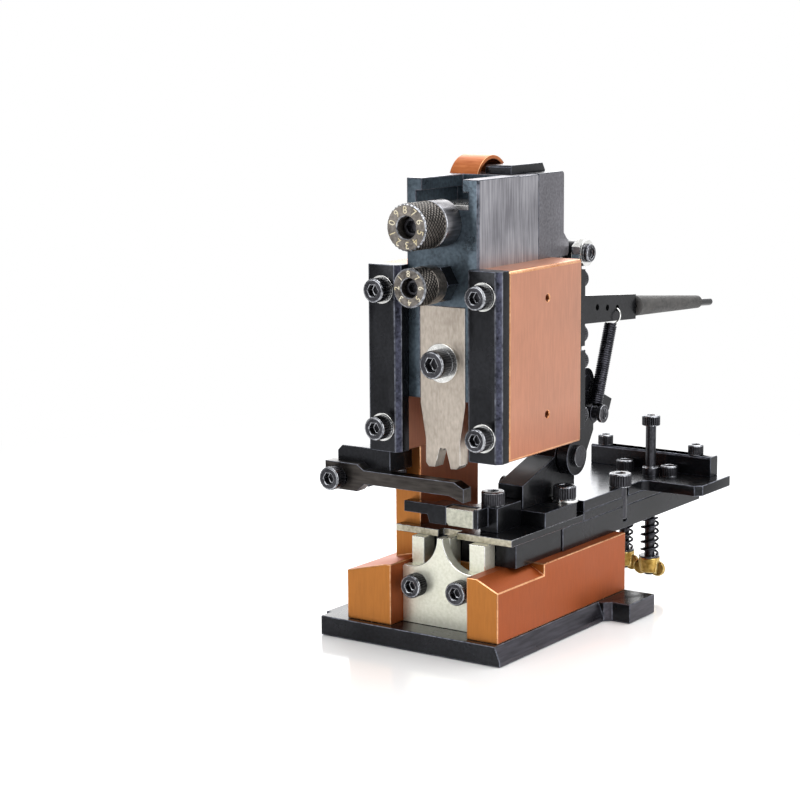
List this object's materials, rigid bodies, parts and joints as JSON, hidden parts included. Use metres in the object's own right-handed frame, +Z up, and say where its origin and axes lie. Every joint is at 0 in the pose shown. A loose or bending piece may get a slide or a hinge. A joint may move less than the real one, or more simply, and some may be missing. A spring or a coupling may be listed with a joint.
{
  "type": "crimp applicator",
  "caption": "Bench-press crimp applicator: C-frame, gib-guided ram with punch and height dials, anvil, sprung shear and a cam-driven end-feed strip track",
  "frame": {"origin": "on the underside of the base plate, straight below the crimp centre line", "axes": "+X right seen from the front, +Y to the back along the strip track, +Z up along the ram's stroke"},
  "size_m": [0.0964, 0.1814, 0.172],
  "materials": {
    "black_oxide_steel": "black oxide over ground steel",
    "screw_black": "black oxide screws",
    "copper_anodised": "copper-brown anodised, fine machined",
    "ground_steel": "ground, thin black oxide",
    "bright_steel": "bright polished",
    "dial_black": "turned, knurled and blackened",
    "tool_steel": "ground tool steel",
    "copper_strap": "polished copper alloy",
    "brass": "cast brass",
    "spring_wire": "drawn spring wire",
    "grip_rubber": "ribbed rubber"
  },
  "bodies": {
    "frame": {"base_plate": "black_oxide_steel", "base_screws": "screw_black", "c_frame": "copper_anodised", "gib_left": "black_oxide_steel", "gib_right": "black_oxide_steel", "gib_screws": "screw_black", "gib_washers": "bright_steel", "anvil_front": "tool_steel", "anvil_rear": "tool_steel", "anvil_screws": "screw_black", "strip_plate": "black_oxide_steel", "support_block": "black_oxide_steel", "shear_holder": "black_oxide_steel", "shear_screw": "screw_black", "track_plate": "ground_steel", "front_guide": "black_oxide_steel", "guide_rails": "ground_steel", "guide_cover": "ground_steel", "track_screws": "screw_black", "track_washers": "bright_steel", "rear_bar": "black_oxide_steel", "rear_bar_screws": "screw_black", "adjust_screws": "screw_black", "adjust_springs": "spring_wire", "adjust_washers": "bright_steel", "stripper_bracket": "black_oxide_steel", "stripper_arm": "black_oxide_steel", "stripper_screws": "screw_black", "rocker_bracket": "black_oxide_steel", "rear_screws": "screw_black", "spring_arm": "ground_steel", "arm_grip": "grip_rubber", "tension_spring": "spring_wire"},
    "ram": {"ram": "ground_steel", "thrust_plate": "bright_steel", "upper_collar": "dial_black", "upper_dial_screw": "screw_black", "lower_hex": "black_oxide_steel", "lower_dial_screw": "screw_black", "punch": "tool_steel", "punch_screw": "screw_black", "punch_washer": "bright_steel", "cam_block": "black_oxide_steel", "cam_screws": "screw_black", "top_cap": "black_oxide_steel", "arch_strap": "copper_strap"},
    "upper_dial": {"upper_dial": "dial_black"},
    "lower_dial": {"lower_dial": "dial_black"},
    "rocker": {"rocker_shaft": "bright_steel", "roller_arm": "black_oxide_steel", "roller_bolt": "screw_black", "roller_nut": "bright_steel", "feed_arm": "ground_steel", "feed_pins": "bright_steel"},
    "cam_roller": {"cam_roller": "bright_steel"},
    "feed_slide": {"feed_slide": "black_oxide_steel"},
    "feed_finger": {"feed_finger": "tool_steel"},
    "shear_insert": {"shear_insert": "bright_steel"},
    "wing_nut_right": {"wing_nut_right": "brass"},
    "wing_nut_left": {"wing_nut_left": "brass"}
  },
  "joints": [
    {"name": "ram_slide", "type": "slide", "parent": "frame", "child": "ram", "axis": [0, 0, 1], "range_m": [-0.03, 0]},
    {"name": "upper_dial_turn", "type": "hinge", "parent": "ram", "child": "upper_dial", "pos_m": [0, -0.0114, 0.1507], "axis": [0, 1, 0], "continuous": true},
    {"name": "lower_dial_turn", "type": "hinge", "parent": "ram", "child": "lower_dial", "pos_m": [0, -0.0088, 0.13], "axis": [0, 1, 0], "continuous": true},
    {"name": "rocker_swing", "type": "hinge", "parent": "frame", "child": "rocker", "pos_m": [0.01, 0.0635, 0.0875], "axis": [1, 0, 0], "range_deg": [0, 3.95], "deforming": ["tension_spring"]},
    {"name": "cam_roller_spin", "type": "hinge", "parent": "rocker", "child": "cam_roller", "pos_m": [0.005, 0.06405, 0.1355], "axis": [1, 0, 0], "continuous": true},
    {"name": "feed_slide_travel", "type": "slide", "parent": "frame", "child": "feed_slide", "axis": [0, 1, 0], "range_m": [0, 0.00182]},
    {"name": "feed_finger_tilt", "type": "hinge", "parent": "feed_slide", "child": "feed_finger", "pos_m": [0.003, 0.036, 0.05205], "axis": [1, 0, 0], "range_deg": [-8, 0], "stiffness_Nm_per_rad": 0.05},
    {"name": "shear_plunge", "type": "slide", "parent": "frame", "child": "shear_insert", "axis": [0, 0, 1], "range_m": [-0.0018, 0], "stiffness_N_per_m": 500},
    {"name": "wing_nut_right_turn", "type": "hinge", "parent": "frame", "child": "wing_nut_right", "pos_m": [0.0225, 0.109, 0.01], "axis": [0, 0, 1], "continuous": true},
    {"name": "wing_nut_left_turn", "type": "hinge", "parent": "frame", "child": "wing_nut_left", "pos_m": [0.009, 0.113, 0.01], "axis": [0, 0, 1], "continuous": true}
  ],
  "couplings": [
    {"joint": "rocker_swing", "follows": "ram_slide", "rad_per_m": -2.2917},
    {"joint": "feed_slide_travel", "follows": "ram_slide", "ratio": -0.0603}
  ]
}
